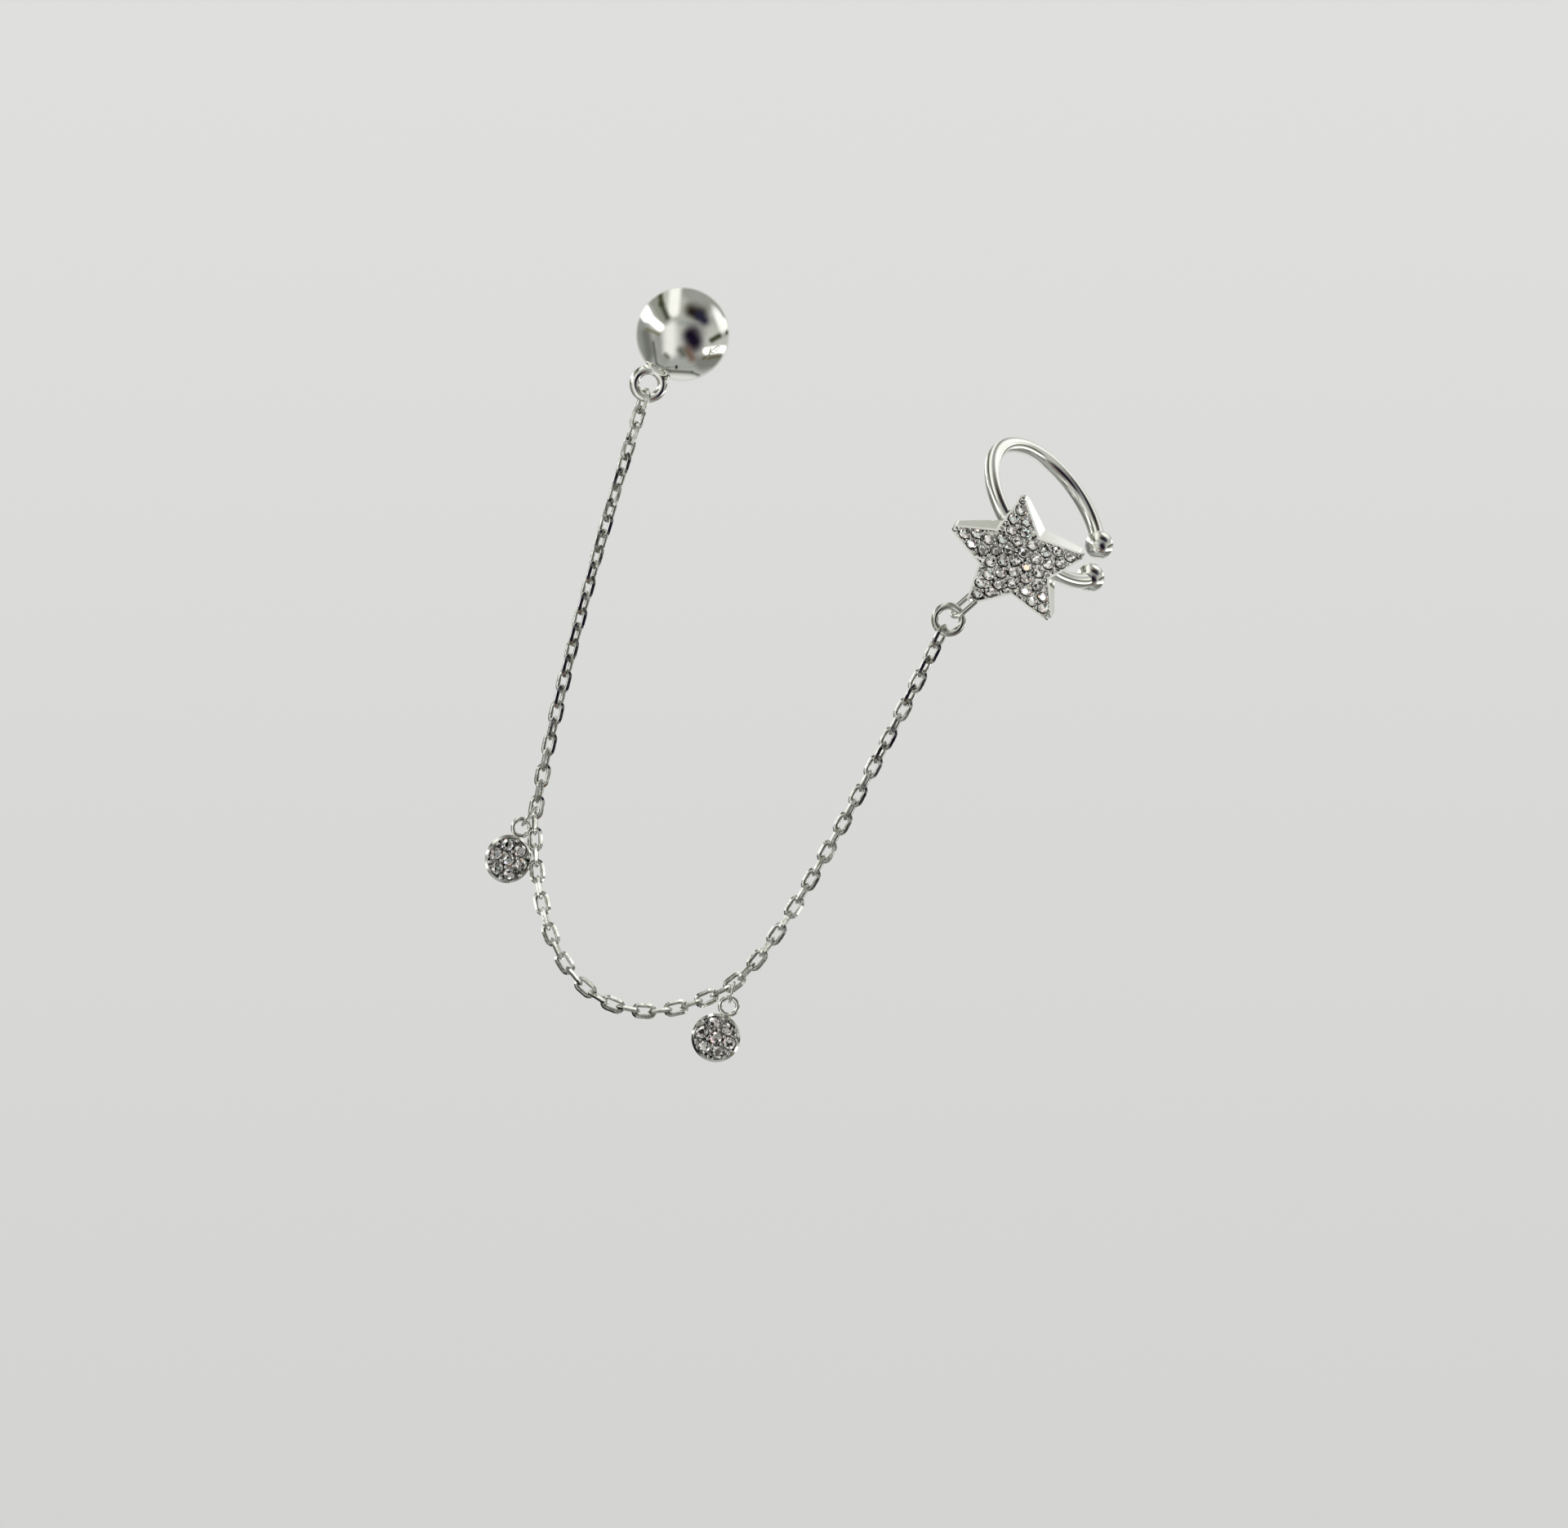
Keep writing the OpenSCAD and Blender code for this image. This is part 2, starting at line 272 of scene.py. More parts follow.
# Finishes: roughness, depth and size of the dents, size and shade of the clouds.
# The drawn, cut and bent wire of the rings and the chain has smaller and deeper clouds than the
# polished pieces: painted reflections, light and dark patches that stand for what the wire mirrors.
# Their lower tone paints the rings and the chain darker all over, as painted shade.
PAINTED_REFLECTION_SHADE = (0.58, 0.59, 0.51)
STUD_FINISH = {"roughness": 0.035, "dent": 0.002 * MM, "dent_size": 1.6 * MM}
CUFF_FINISH = {"roughness": 0.05, "dent": 0.002 * MM, "dent_size": 1.6 * MM}
DISC_FINISH = {"roughness": 0.08, "dent": 0.004 * MM, "dent_size": 0.3 * MM}
RING_FINISH_AND_PAINTED_REFLECTIONS = {
    "roughness": 0.09, "dent": 0.012 * MM, "dent_size": 0.35 * MM,
    "cloud": 0.6 * MM, "shade": PAINTED_REFLECTION_SHADE, "tone": 0.90,
}
CHAIN_FINISH_AND_PAINTED_REFLECTIONS = {
    "roughness": 0.08, "dent": 0.025 * MM, "dent_size": 0.35 * MM,
    "cloud": 0.5 * MM, "shade": PAINTED_REFLECTION_SHADE,
}


def empty_material(name):
    """A material and its node tree, with nothing in it."""
    material = bpy.data.materials.new(name)
    material.use_nodes = True
    material.node_tree.nodes.clear()
    return material, material.node_tree


def new_material(name):
    """A material, its node tree, its shader and the object's own coordinates."""
    material, tree = empty_material(name)
    output = node(tree, "ShaderNodeOutputMaterial", (6, 0))
    shader = node(tree, "ShaderNodeBsdfPrincipled", (4, 0))
    wire(tree, shader.outputs["BSDF"], output.inputs["Surface"])
    place = node(tree, "ShaderNodeTexCoord", (-4, 0))
    return material, tree, shader, place.outputs["Object"]


def silver(
    name, look, roughness, dent, dent_size, cloud=1.1 * MM, shade=None, tone=1.0, field=None
):
    """Polished silver: clouds in its colour and polish, and the soft dents of hand finishing. With
    a deep shade the clouds are painted reflections. Over a field of stones the seats get painted
    shade, and the metal between them a speckle of painted shade and painted glints."""
    material, tree, shader, place = new_material(name)
    shader.inputs["Metallic"].default_value = 1.0
    # With a deep shade, as on the rings and the chain, these clouds are painted reflections
    clouds = noise(tree, place, 1 / cloud, 3, (-2, 0))
    ramp = node(tree, "ShaderNodeValToRGB", (0, 0))
    shades = zip(look.silver, shade or look.shade)
    deep, light = ramp.color_ramp.elements
    deep.position, light.position = NOISE_SPAN
    deep.color = (*[c * s * tone * tone for c, s in shades], 1)
    light.color = (*[c * tone for c in look.silver], 1)
    wire(tree, clouds, ramp.inputs["Fac"])
    colour = ramp.outputs["Color"]
    smudges = noise(tree, place, 1 / SMUDGE, 4, (-2, 2))
    polish = spread(tree, smudges, *[roughness * share for share in SMUDGE_SPAN], (0, 2))
    if field is not None:
        colour, share = paint_field_shade_and_glints(tree, place, colour, field)
        haze = calculated(tree, "MULTIPLY", (1, 2), share, field["haze"])
        polish = calculated(tree, "ADD", (2, 2), polish, haze)
    wire(tree, colour, shader.inputs["Base Color"])
    wire(tree, polish, shader.inputs["Roughness"])
    dents = noise(tree, place, 1 / dent_size, 2, (-2, 4))
    bump = node(tree, "ShaderNodeBump", (2, 4))
    bump.inputs["Strength"].default_value = 1.0
    bump.inputs["Distance"].default_value = dent
    wire(tree, dents, bump.inputs["Height"])
    wire(tree, bump.outputs["Normal"], shader.inputs["Normal"])
    return material


# Fields of stones

# Painted glints and painted shade on the metal between the stones, by a chance from 0 to 1, then
# painted shade on the metal down in the seats of the star and of the discs
PAINTED_GLINT_AND_SHADE_TONES = [
    (0.00, (0.020, 0.020, 0.018)),
    (0.20, (0.26, 0.255, 0.23)),
    (0.48, (0.60, 0.59, 0.55)),
    (0.76, (0.97, 0.97, 0.94)),
]
PAINTED_SEAT_SHADE_TONES = [
    (0.00, (0.012, 0.012, 0.012)),
    (0.44, (0.10, 0.098, 0.086)),
    (0.50, (0.24, 0.235, 0.210)),
    (0.58, (0.42, 0.41, 0.38)),
]
PAINTED_DISC_SEAT_SHADE_TONES = [
    (0.00, (0.050, 0.052, 0.042)),
    (0.40, (0.20, 0.20, 0.17)),
    (0.50, (0.36, 0.355, 0.32)),
    (0.60, (0.56, 0.55, 0.51)),
]

# Heights above the stones' girdles. The metal's face lies STONE_SINK above them and gets painted
# glints and painted shade, the beads rise above it and stay bright and unpainted, and the seats
# lie under it and get painted shade.
STONE_SINK = 0.06 * MM
SEAT_FADE = (STONE_SINK - 0.06 * MM, STONE_SINK - 0.01 * MM)
BEAD_FADE = (STONE_SINK + 0.02 * MM, STONE_SINK + 0.07 * MM)
FLOOR_FADE = (-0.60 * MM, -0.50 * MM)

# How far inside the field's edge its painted shade and glints start and are full, and how large a
# painted speck is
RIM_FADE = (0.10 * MM, 0.18 * MM)
SPECK = 0.16 * MM


def from_middle(tree, across, up):
    """How far a point of a field lies from the field's middle."""
    squares = [
        calculated(tree, "MULTIPLY", (-7, -3 + k), run, run) for k, run in enumerate((across, up))
    ]
    return calculated(tree, "SQRT", (-5, -3), calculated(tree, "ADD", (-6, -3), *squares))


def from_disc_edge(tree, across, up, field):
    """How far inside a round field's edge a point lies."""
    return calculated(tree, "SUBTRACT", (-4, -3), field["tip"], from_middle(tree, across, up))


def from_star_edge(tree, across, up, field):
    """How far inside a star's outline a point lies. The arms are folded on to one half arm."""
    reach = from_middle(tree, across, up)
    half_turn = math.pi / field["arms"]
    angle = calculated(tree, "ARCTAN2", (-6, -4), up, across)
    angle = calculated(tree, "PINGPONG", (-5, -4), angle, half_turn)
    cosine = calculated(tree, "COSINE", (-4, -3), angle)
    along = calculated(tree, "MULTIPLY", (-3, -3), reach, cosine)
    sine = calculated(tree, "SINE", (-4, -4), angle)
    aside = calculated(tree, "MULTIPLY", (-3, -4), reach, sine)
    corner = field["notch"] * math.cos(half_turn), field["notch"] * math.sin(half_turn)
    slant = math.atan2(corner[1], field["tip"] - corner[0])
    short = calculated(tree, "SUBTRACT", (-3, -5), field["tip"], along)
    fall = calculated(tree, "MULTIPLY", (-2, -3), short, math.sin(slant))
    side = calculated(tree, "MULTIPLY", (-2, -4), aside, math.cos(slant))
    return calculated(tree, "SUBTRACT", (-1, -3), fall, side)


def paint_field_shade_and_glints(tree, place, colour, field):
    """Lays painted shade in the seats, and a speckle of painted shade and painted glints between
    the stones, over the metal's colour. It gives back the colour, and the share of the field at a
    point."""
    offset = node(tree, "ShaderNodeVectorMath", (-9, -3), operation="SUBTRACT")
    offset.inputs[1].default_value = field["middle"]
    wire(tree, place, offset.inputs[0])
    across, up, height = (
        dot(tree, offset.outputs["Vector"], axis, (-8, -3 + k))
        for k, axis in enumerate(field["axes"])
    )
    edge = field["edge"](tree, across, up, field)
    inside = soft_step(tree, edge, *RIM_FADE, 0, 1, (0, -3))
    low = soft_step(tree, height, *BEAD_FADE, 1, 0, (0, -4))
    near = soft_step(tree, height, *FLOOR_FADE, 0, 1, (0, -2))
    share = calculated(tree, "MULTIPLY", (1, -4), inside, low)
    share = calculated(tree, "MULTIPLY", (1, -3), share, near)
    specks = node(tree, "ShaderNodeTexVoronoi", (-1, -6))
    specks.inputs["Scale"].default_value = 1 / SPECK
    wire(tree, place, specks.inputs["Vector"])
    split = node(tree, "ShaderNodeSeparateColor", (0, -6))
    wire(tree, specks.outputs["Color"], split.inputs["Color"])
    # Painted glints and painted shade in specks between the stones
    painted_speckle = stepped_ramp(tree, split.outputs["Red"], PAINTED_GLINT_AND_SHADE_TONES, (1, -6))
    # Painted shade down in the seats, in patches
    deep = soft_step(tree, height, *SEAT_FADE, 0, 1, (0, -5))
    patches = noise(tree, place, 1 / field["patch"], 1, (0, -7))
    painted_seat_shade = stepped_ramp(tree, patches, field["seats"], (1, -7))
    painted_bed_shade = mixed(tree, deep, painted_seat_shade, painted_speckle, (2, -5))
    return mixed(tree, share, colour, painted_bed_shade, (3, -3)), share


# Fields of stones: outline, painted shade tones of the seats, size of the patches in that painted
# shade, and roughness added
STAR_FIELD = {
    "edge": from_star_edge, "arms": 5, "tip": 4.95 * MM, "notch": 2.45 * MM,
    "seats": PAINTED_SEAT_SHADE_TONES, "patch": 0.9 * MM, "haze": 0.0,
}
DISC_FIELD = {
    "edge": from_disc_edge, "tip": 1.55 * MM,
    "seats": PAINTED_DISC_SEAT_SHADE_TONES, "patch": 0.4 * MM, "haze": 0.40,
}


def stone_field(cad_node, outline):
    """A field's outline and dressing, its middle at the girdles, and its axes, normal last."""
    solids = loose_solids(cad_node)
    axes = [outward_axis(corners) for corners in solids]
    normal = Vector(np.mean(axes, axis=0)).normalized()
    middles = [girdle_middle(corners, axis)[0] for corners, axis in zip(solids, axes)]
    middle = sum(middles, Vector()) / len(middles)
    arm = max((point - middle for point in middles), key=lambda run: run.length)
    arm = (arm - arm.dot(normal) * normal).normalized()
    return {"middle": middle, "axes": (arm, normal.cross(arm), normal), **outline}


# Metal pieces


def dress_metal(settings):
    """Gives each metal piece its silver."""
    look = settings.look
    star = stone_field("star_stones", STAR_FIELD)
    finishes = [
        (silver("polished_silver", look, **STUD_FINISH), ["ball_stud"]),
        (silver("ring_silver", look, **RING_FINISH_AND_PAINTED_REFLECTIONS), ["jump_ring", "charm_ring_1", "charm_ring_2"]),
        (silver("cuff_silver", look, **CUFF_FINISH, field=star), ["star_cuff"]),
    ]
    for k in ("1", "2"):
        disc = stone_field("disc_stones_" + k, DISC_FIELD)
        paved = silver("setting_silver_" + k, look, **DISC_FINISH, field=disc)
        finishes.append((paved, ["disc_charm_" + k]))
    for material, names in finishes:
        for name in names:
            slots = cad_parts[name].data.materials
            slots.clear()
            slots.append(material)


# Repeats


def placing_tree(name):
    """A tree that sets one solid on each point, turned and sized by the point, and fuses them."""
    tree = bpy.data.node_groups.new(name, "GeometryNodeTree")
    sockets = {}
    for label, kind in [
        ("Places", "NodeSocketGeometry"),
        ("Solid", "NodeSocketObject"),
        ("Seed", "NodeSocketInt"),
        ("Material", "NodeSocketMaterial"),
    ]:
        sockets[label] = tree.interface.new_socket(label, in_out="INPUT", socket_type=kind)
    tree.interface.new_socket("Pieces", in_out="OUTPUT", socket_type="NodeSocketGeometry")
    start = node(tree, "NodeGroupInput", (-4, 0))
    solid = node(tree, "GeometryNodeObjectInfo", (-2, 2))
    turn = node(tree, "GeometryNodeInputNamedAttribute", (-4, 4), data_type="FLOAT_VECTOR")
    turn.inputs["Name"].default_value = "turn"
    rotation = node(tree, "FunctionNodeEulerToRotation", (-2, 4))
    size = node(tree, "GeometryNodeInputNamedAttribute", (-4, 6), data_type="FLOAT_VECTOR")
    size.inputs["Name"].default_value = "size"
    place = node(tree, "GeometryNodeInstanceOnPoints", (0, 0))
    fuse = node(tree, "GeometryNodeRealizeInstances", (1, 0))
    chance = node(tree, "FunctionNodeRandomValue", (1, 3), data_type="FLOAT")
    store = node(tree, "GeometryNodeStoreNamedAttribute", (2, 0), data_type="FLOAT", domain="FACE")
    store.inputs["Name"].default_value = "fire"
    finish = node(tree, "GeometryNodeSetMaterial", (3, 0))
    end = node(tree, "NodeGroupOutput", (4, 0))
    wire(tree, start.outputs["Places"], place.inputs["Points"])
    wire(tree, start.outputs["Solid"], solid.inputs["Object"])
    wire(tree, solid.outputs["Geometry"], place.inputs["Instance"])
    wire(tree, turn.outputs["Attribute"], rotation.inputs["Euler"])
    wire(tree, rotation.outputs["Rotation"], place.inputs["Rotation"])
    wire(tree, size.outputs["Attribute"], place.inputs["Scale"])
    wire(tree, place.outputs["Instances"], fuse.inputs["Geometry"])
    wire(tree, start.outputs["Seed"], chance.inputs["Seed"])
    wire(tree, fuse.outputs["Geometry"], store.inputs["Geometry"])
    wire(tree, chance.outputs[1], store.inputs["Value"])
    wire(tree, store.outputs["Geometry"], finish.inputs["Geometry"])
    wire(tree, start.outputs["Material"], finish.inputs["Material"])
    wire(tree, finish.outputs["Geometry"], end.inputs["Pieces"])
    return tree, sockets


def set_on_points(name, rows, solid, material, seed):
    """One mesh of a solid set on many points.
    A row has a point, a turn and a size along X, Y and Z."""
    points = mesh_object(name, [row[0] for row in rows], [])
    for column, label in [(1, "turn"), (2, "size")]:
        attribute = points.data.attributes.new(label, "FLOAT_VECTOR", "POINT")
        attribute.data.foreach_set("vector", [v for row in rows for v in row[column]])
    tree, sockets = placing_tree(name + "_places")
    modifier = points.modifiers.new("Places", "NODES")
    modifier.node_group = tree
    modifier[sockets["Solid"].identifier] = solid
    modifier[sockets["Seed"].identifier] = seed
    modifier[sockets["Material"].identifier] = material
    settled = points.evaluated_get(bpy.context.evaluated_depsgraph_get())
    mesh = bpy.data.meshes.new_from_object(settled)
    mesh.name = name
    points.modifiers.clear()
    points.data = mesh
    return points


def hand_over(piece, nodes):
    """The piece stands for CAD nodes and rides on the part's only body."""
    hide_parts(*nodes)
    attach(piece, "root")


# Chain

BEND_STEPS = 7

# Degrees round the wire's section, 0 on the link's outermost line: the middle of a flat, which
# the other flat mirrors, and the corners of the round side
FLAT_TURN = 45
ROUND_TURNS = (135, 180, -135)

# The link's sides that are left round, counted across its section. The others are the two flats
# and the ridge between them.
ROUND_SIDES = (2, 3, 4, 5)

# A link this much longer than a plain one is an end link
END_LINK_SHARE = 1.05


def link_solid(name, length, width, wire_d, cut):
    """An oval link with its length along X. Two flats are cut all round its outer side."""
    r = wire_d / 2
    edge = math.degrees(math.acos(cut))
    turns = [edge - FLAT_TURN, FLAT_TURN - edge, FLAT_TURN + edge, *ROUND_TURNS, -FLAT_TURN - edge]
    angles = [math.radians(turn) for turn in turns]
    bend_r = (width - wire_d) / 2
    straight = length - width
    path = []
    for end in (1, -1):
        for k in range(BEND_STEPS + 1):
            a = -math.pi / 2 + math.pi * k / BEND_STEPS
            path.append((end * (straight / 2 + bend_r * math.cos(a)), end * bend_r * math.sin(a),
                         end * math.cos(a), end * math.sin(a)))
    corners = []
    for x, z, out_x, out_z in path:
        for a in angles:
            out, aside = r * math.cos(a), r * math.sin(a)
            corners.append((x + out * out_x, aside, z + out * out_z))
    around = len(angles)
    faces = []
    smooth = []
    for k in range(len(path)):
        here = k * around
        ahead = (k + 1) % len(path) * around
        for j in range(around):
            beside = (j + 1) % around
            faces.append((here + j, here + beside, ahead + beside, ahead + j))
            smooth.append(j in ROUND_SIDES)
    return mesh_object(name, corners, faces, smooth)


def link_row(corners):
    """Where a link of the CAD chain lies, how it is turned, and its box."""
    thin, wide, long = principal_axes(corners)
    middle, sides = middle_along(corners, [long, thin, wide])
    return middle, turn_of(long, thin), sides


def swung(turn, angle):
    """A link's turn, swung by an angle about the link's own length."""
    return (turn.to_matrix() @ Matrix.Rotation(angle, 3, "X")).to_euler("XYZ")


def make_chain(settings):
    """The chain's links, each in the place of its CAD link."""
    rows = [link_row(corners) for corners in loose_solids("chain")]
    chance = random.Random(settings.chain.seed)
    wire_d = settings.chain.stoutness * min(sides[1] for _, _, sides in rows)
    plain_length = min(sides[0] for _, _, sides in rows)
    plain_width = min(sides[2] for _, _, sides in rows)
    # The chain's deep clouds are painted reflections, and its tone paints it darker all over as
    # painted shade
    material = silver("chain_silver", settings.look, **CHAIN_FINISH_AND_PAINTED_REFLECTIONS, tone=settings.chain.tone)
    parts = []
    for label, ends in [("chain_links", False), ("chain_end_links", True)]:
        chosen = [row for row in rows if (row[2][0] > plain_length * END_LINK_SHARE) == ends]
        length = max(sides[0] for _, _, sides in chosen) if ends else plain_length
        width = max(sides[2] for _, _, sides in chosen) if ends else plain_width
        solid = link_solid(label + "_cut", length, width, wire_d, settings.chain.cut)
        face_outwards(solid)
        places = [(middle, swung(turn, chance.uniform(-1, 1) * settings.chain.swing), (1, 1, 1))
                  for middle, turn, _ in chosen]
        parts.append(set_on_points(label, places, solid, material, 0))
        bpy.data.objects.remove(solid)
    chain = join("diamond_cut_chain", parts)
    hand_over(chain, ["chain"])


# Cut stones

# Painted reflections: what a stone's facet shows by a chance from 0 to 1, from dark to bright
PAINTED_FACET_REFLECTIONS = [
    (0.00, (0.012, 0.012, 0.012)),
    (0.14, (0.18, 0.17, 0.15)),
    (0.30, (0.43, 0.42, 0.38)),
    (0.42, (0.54, 0.48, 0.46)),
    (0.52, (0.74, 0.74, 0.69)),
    (0.64, (0.70, 0.78, 0.74)),
    (0.74, (1.00, 0.99, 0.95)),
    (0.90, (1.00, 0.92, 0.91)),
]

# How much of a facet's tone glows as painted light, standing for light from inside the stone
PAINTED_INNER_GLOW = 0.25

# Painted glints: the flashes of fire by a facet's own chance, white and coloured. Most facets have
# none.
PAINTED_FIRE_COLOURS = [
    (0.00, (0.00, 0.00, 0.00)),
    (0.91, (1.00, 1.00, 1.00)),
    (0.955, (1.00, 0.74, 0.54)),
    (0.967, (1.00, 0.74, 0.78)),
    (0.977, (0.62, 0.93, 1.00)),
    (0.986, (0.70, 1.00, 0.84)),
    (0.994, (0.90, 0.86, 1.00)),
]

# Roughness of a stone's facets, and size of the haze that changes it
STONE_ROUGHNESS = (0.02, 0.09)
STONE_HAZE = 0.3 * MM


def cut_stone(name, look):
    """Clear cut stone: each facet, and each glimpse of the facets under it, takes its own painted
    reflection; some take painted fire, and all glow a little as painted light.
    """
    material, tree, shader, place = new_material(name)
    shader.inputs["Metallic"].default_value = look.stone_mirror
    shader.inputs["IOR"].default_value = look.stone_index
    # Each glimpse of the lower facets is a painted reflection
    glimpses = node(tree, "ShaderNodeTexVoronoi", (-3, 0))
    glimpses.inputs["Scale"].default_value = 1 / look.glimpse
    wire(tree, place, glimpses.inputs["Vector"])
    split = node(tree, "ShaderNodeSeparateColor", (-2, 0))
    wire(tree, glimpses.outputs["Color"], split.inputs["Color"])
    facet = node(tree, "ShaderNodeAttribute", (-3, 2), attribute_name="fire")
    both = calculated(tree, "ADD", (-2, 2), facet.outputs["Fac"], split.outputs["Red"])
    chance = calculated(tree, "FRACT", (-1, 1), both)
    # The facet's painted reflection, from dark to bright
    tone = stepped_ramp(tree, chance, PAINTED_FACET_REFLECTIONS, (0, 0))
    fire = stepped_ramp(tree, facet.outputs["Fac"], PAINTED_FIRE_COLOURS, (0, 2))
    lit = node(tree, "ShaderNodeMix", (2, 0), data_type="RGBA", blend_type="LIGHTEN")
    lit.inputs[0].default_value = 1
    wire(tree, tone, lit.inputs[6])
    wire(tree, fire, lit.inputs[7])
    wire(tree, lit.outputs[2], shader.inputs["Base Color"])
    # The painted fire and a share of the painted tone glow as painted light, though a stone is no
    # lamp
    glow = node(tree, "ShaderNodeMix", (2, 2), data_type="RGBA", blend_type="ADD")
    glow.inputs[0].default_value = PAINTED_INNER_GLOW
    wire(tree, fire, glow.inputs[6])
    wire(tree, tone, glow.inputs[7])
    wire(tree, glow.outputs[2], shader.inputs["Emission Color"])
    shader.inputs["Emission Strength"].default_value = look.painted_fire_glow
    haze = noise(tree, place, 1 / STONE_HAZE, 2, (-2, 4))
    wire(tree, spread(tree, haze, *STONE_ROUGHNESS, (0, 4)), shader.inputs["Roughness"])
    return material


# A brilliant is the same eight times round its axis. The shares are its parts against its width:
# table, crown, girdle and pavilion, and how far from the axis the stars' and the lower facets'
# points lie.
FOLDS = 8
TABLE_SHARE = 0.56
CROWN_SHARE = 0.16
GIRDLE_SHARE = 0.04
PAVILION_SHARE = 0.42
STAR_POINT_SHARE = 0.385
LOWER_POINT_SHARE = 0.13


def brilliant(name):
    """A round brilliant one unit wide, with its girdle's top at z = 0."""
    half = math.pi / FOLDS
    top = CROWN_SHARE
    deep = -(GIRDLE_SHARE + PAVILION_SHARE)
    crown_fall = CROWN_SHARE / (0.5 - TABLE_SHARE / 2)
    star_z = top - (STAR_POINT_SHARE * math.cos(half) - TABLE_SHARE / 2) * crown_fall
    lower_z = deep + LOWER_POINT_SHARE * math.cos(half) * PAVILION_SHARE / 0.5

    def ring(count, radius, z, shift=0.0):
        return [
            (radius * math.cos((k + shift) * 2 * math.pi / count),
             radius * math.sin((k + shift) * 2 * math.pi / count), z)
            for k in range(count)
        ]

    table = ring(FOLDS, TABLE_SHARE / 2, top)
    stars = ring(FOLDS, STAR_POINT_SHARE, star_z, 0.5)
    upper = ring(2 * FOLDS, 0.5, 0)
    lower = ring(2 * FOLDS, 0.5, -GIRDLE_SHARE)
    deeps = ring(FOLDS, LOWER_POINT_SHARE, lower_z, 0.5)
    corners = table + stars + upper + lower + deeps + [(0, 0, deep)]
    # Where the corners of the table, stars, girdle's top, girdle's foot, deeps and tip start
    t, s, u, g, d, tip = [rings * FOLDS for rings in (0, 1, 2, 4, 6, 7)]
    faces = [tuple(range(FOLDS))]
    for k in range(FOLDS):
        n = (k + 1) % FOLDS
        p = (k - 1) % FOLDS
        a, b, c = 2 * k, 2 * k + 1, (2 * k + 2) % (2 * FOLDS)
        faces.append((t + k, s + k, t + n))
        faces.append((t + k, s + p, u + a, s + k))
        faces.append((s + k, u + a, u + b))
        faces.append((s + k, u + b, u + c))
        faces.append((u + a, g + a, g + b, u + b))
        faces.append((u + b, g + b, g + c, u + c))
        faces.append((d + k, g + b, g + a))
        faces.append((d + k, g + c, g + b))
        faces.append((tip, d + k, g + a, d + p))
    stone = mesh_object(name, corners, faces)
    face_outwards(stone)
    return stone


def outward_axis(corners):
    """The axis of a CAD stone, towards its table."""
    axis = principal_axes(corners)[0]
    along = corners @ axis
    if along.max() - np.median(along) > np.median(along) - along.min():
        return -axis
    return axis


def girdle_middle(corners, axis):
    """The middle of a CAD stone in the plane of its girdle's top, and the stone's width."""
    along = corners @ axis
    centre = corners.mean(0)
    centre = centre - (centre @ axis) * axis
    width = 2 * np.linalg.norm(corners - np.outer(along, axis) - centre, axis=1).max()
    girdle = along.min() + (GIRDLE_SHARE + PAVILION_SHARE) * width
    return Vector(centre + girdle * axis), width


def stone_row(corners, chance):
    """Where a CAD stone lies, a turn that puts its table outwards, and its width."""
    axis = outward_axis(corners)
    middle, width = girdle_middle(corners, axis)
    side = Vector(axis).orthogonal().normalized()
    side.rotate(Matrix.Rotation(chance.uniform(0, 2 * math.pi / FOLDS), 3, Vector(axis)))
    y_axis = Vector(axis).cross(side)
    return middle, turn_of(side, y_axis), (width, width, width)


def make_stones(settings):
    """The star's and the discs' stones, each in the place of its CAD stone."""
    material = cut_stone("clear_stone", settings.look)
    solid = brilliant("brilliant_cut")
    chance = random.Random(settings.stones.seed)
    for k, cad_node in enumerate(["star_stones", "disc_stones_1", "disc_stones_2"]):
        rows = [stone_row(corners, chance) for corners in loose_solids(cad_node)]
        piece = set_on_points(cad_node.replace("stones", "brilliants"), rows, solid, material,
                              settings.stones.seed + k)
        hand_over(piece, [cad_node])
    bpy.data.objects.remove(solid)


# Studio

